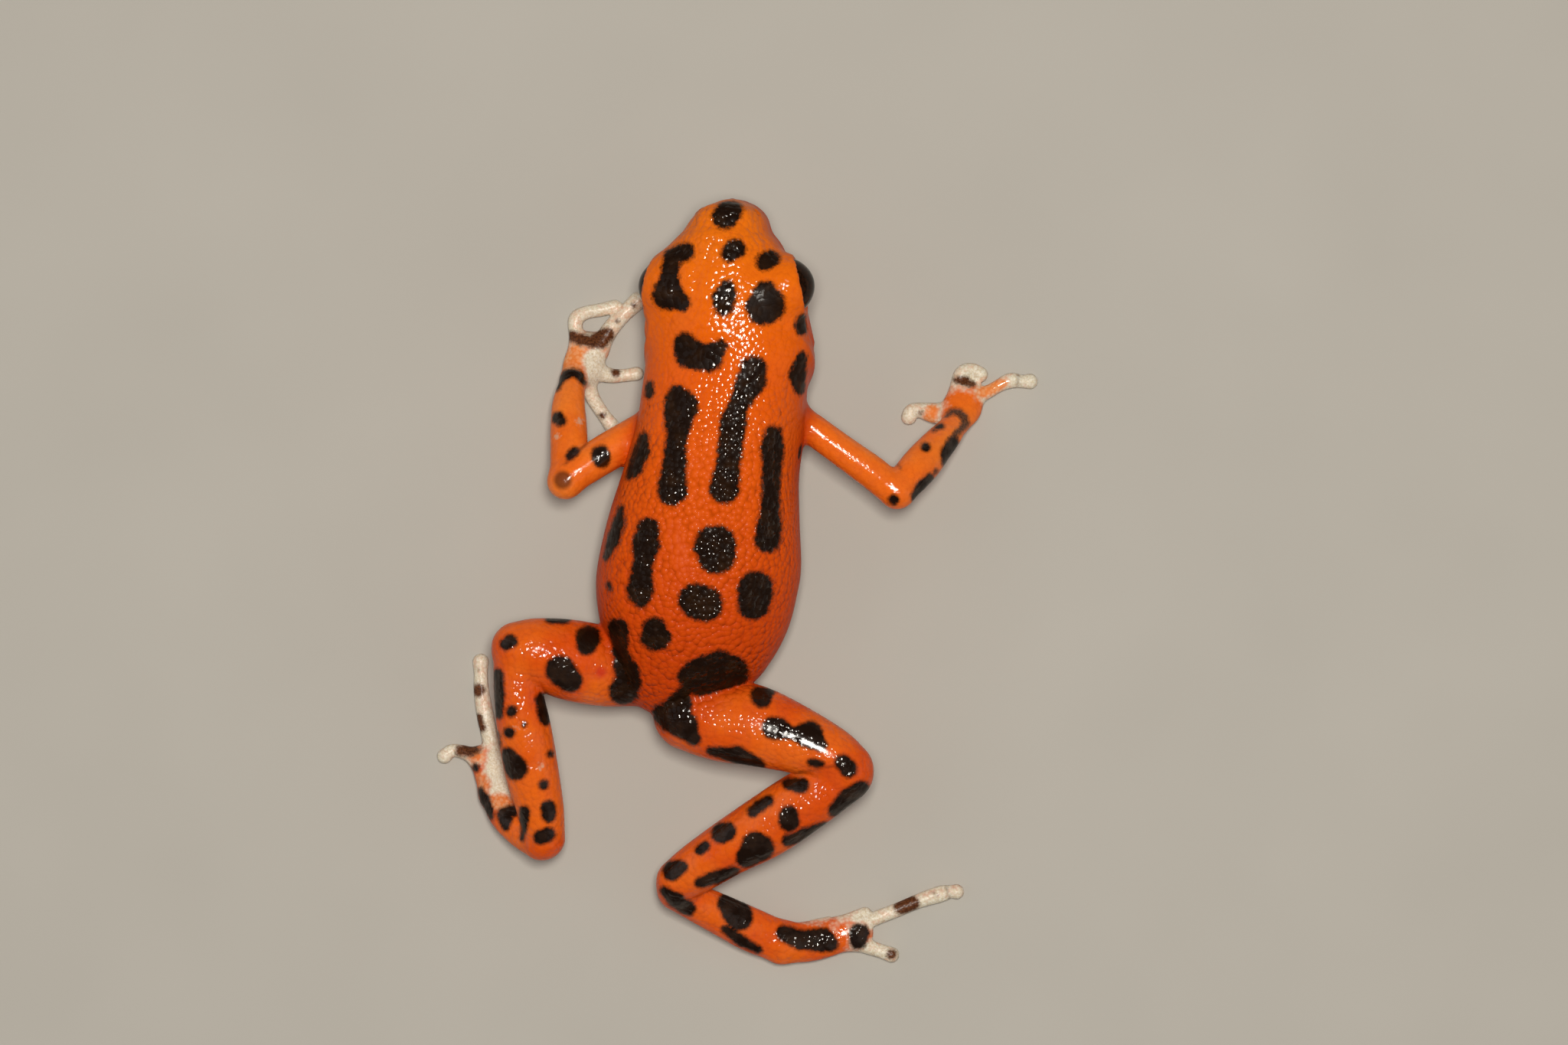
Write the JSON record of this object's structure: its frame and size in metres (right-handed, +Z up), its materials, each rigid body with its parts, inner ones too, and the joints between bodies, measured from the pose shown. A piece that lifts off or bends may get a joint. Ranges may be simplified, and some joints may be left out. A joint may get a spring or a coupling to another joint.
{
  "type": "strawberry poison dart frog model",
  "caption": "Small glossy orange-red frog with black spots, still and life size, crouched on its four spread feet with its head raised.",
  "frame": {"origin": "on the floor under the middle of the frog's outline", "axes": "+X to the frog's right, +Y the way its snout points, +Z up; the soles lie at z = 0"},
  "size_m": [0.0234, 0.0297, 0.0072],
  "materials": {
    "body_skin": "wet, finely grained orange-red skin with brown-black spots",
    "limb_skin": "wet, finely grained coral-orange skin with brown-black spots",
    "digit_skin": "satin cream skin with brown bands, orange towards the wrist and ankle",
    "eye": "polished black"
  },
  "bodies": {
    "root": {"torso": "body_skin", "head": "body_skin", "eye_left": "eye", "eye_right": "eye", "upper_arm_left": "limb_skin", "forearm_left": "limb_skin", "hand_left": "digit_skin", "upper_arm_right": "limb_skin", "forearm_right": "limb_skin", "hand_right": "digit_skin", "thigh_left": "limb_skin", "shank_left": "limb_skin", "tarsus_left": "limb_skin", "foot_left": "digit_skin", "thigh_right": "limb_skin", "shank_right": "limb_skin", "tarsus_right": "limb_skin", "foot_right": "digit_skin"}
  },
  "joints": []
}
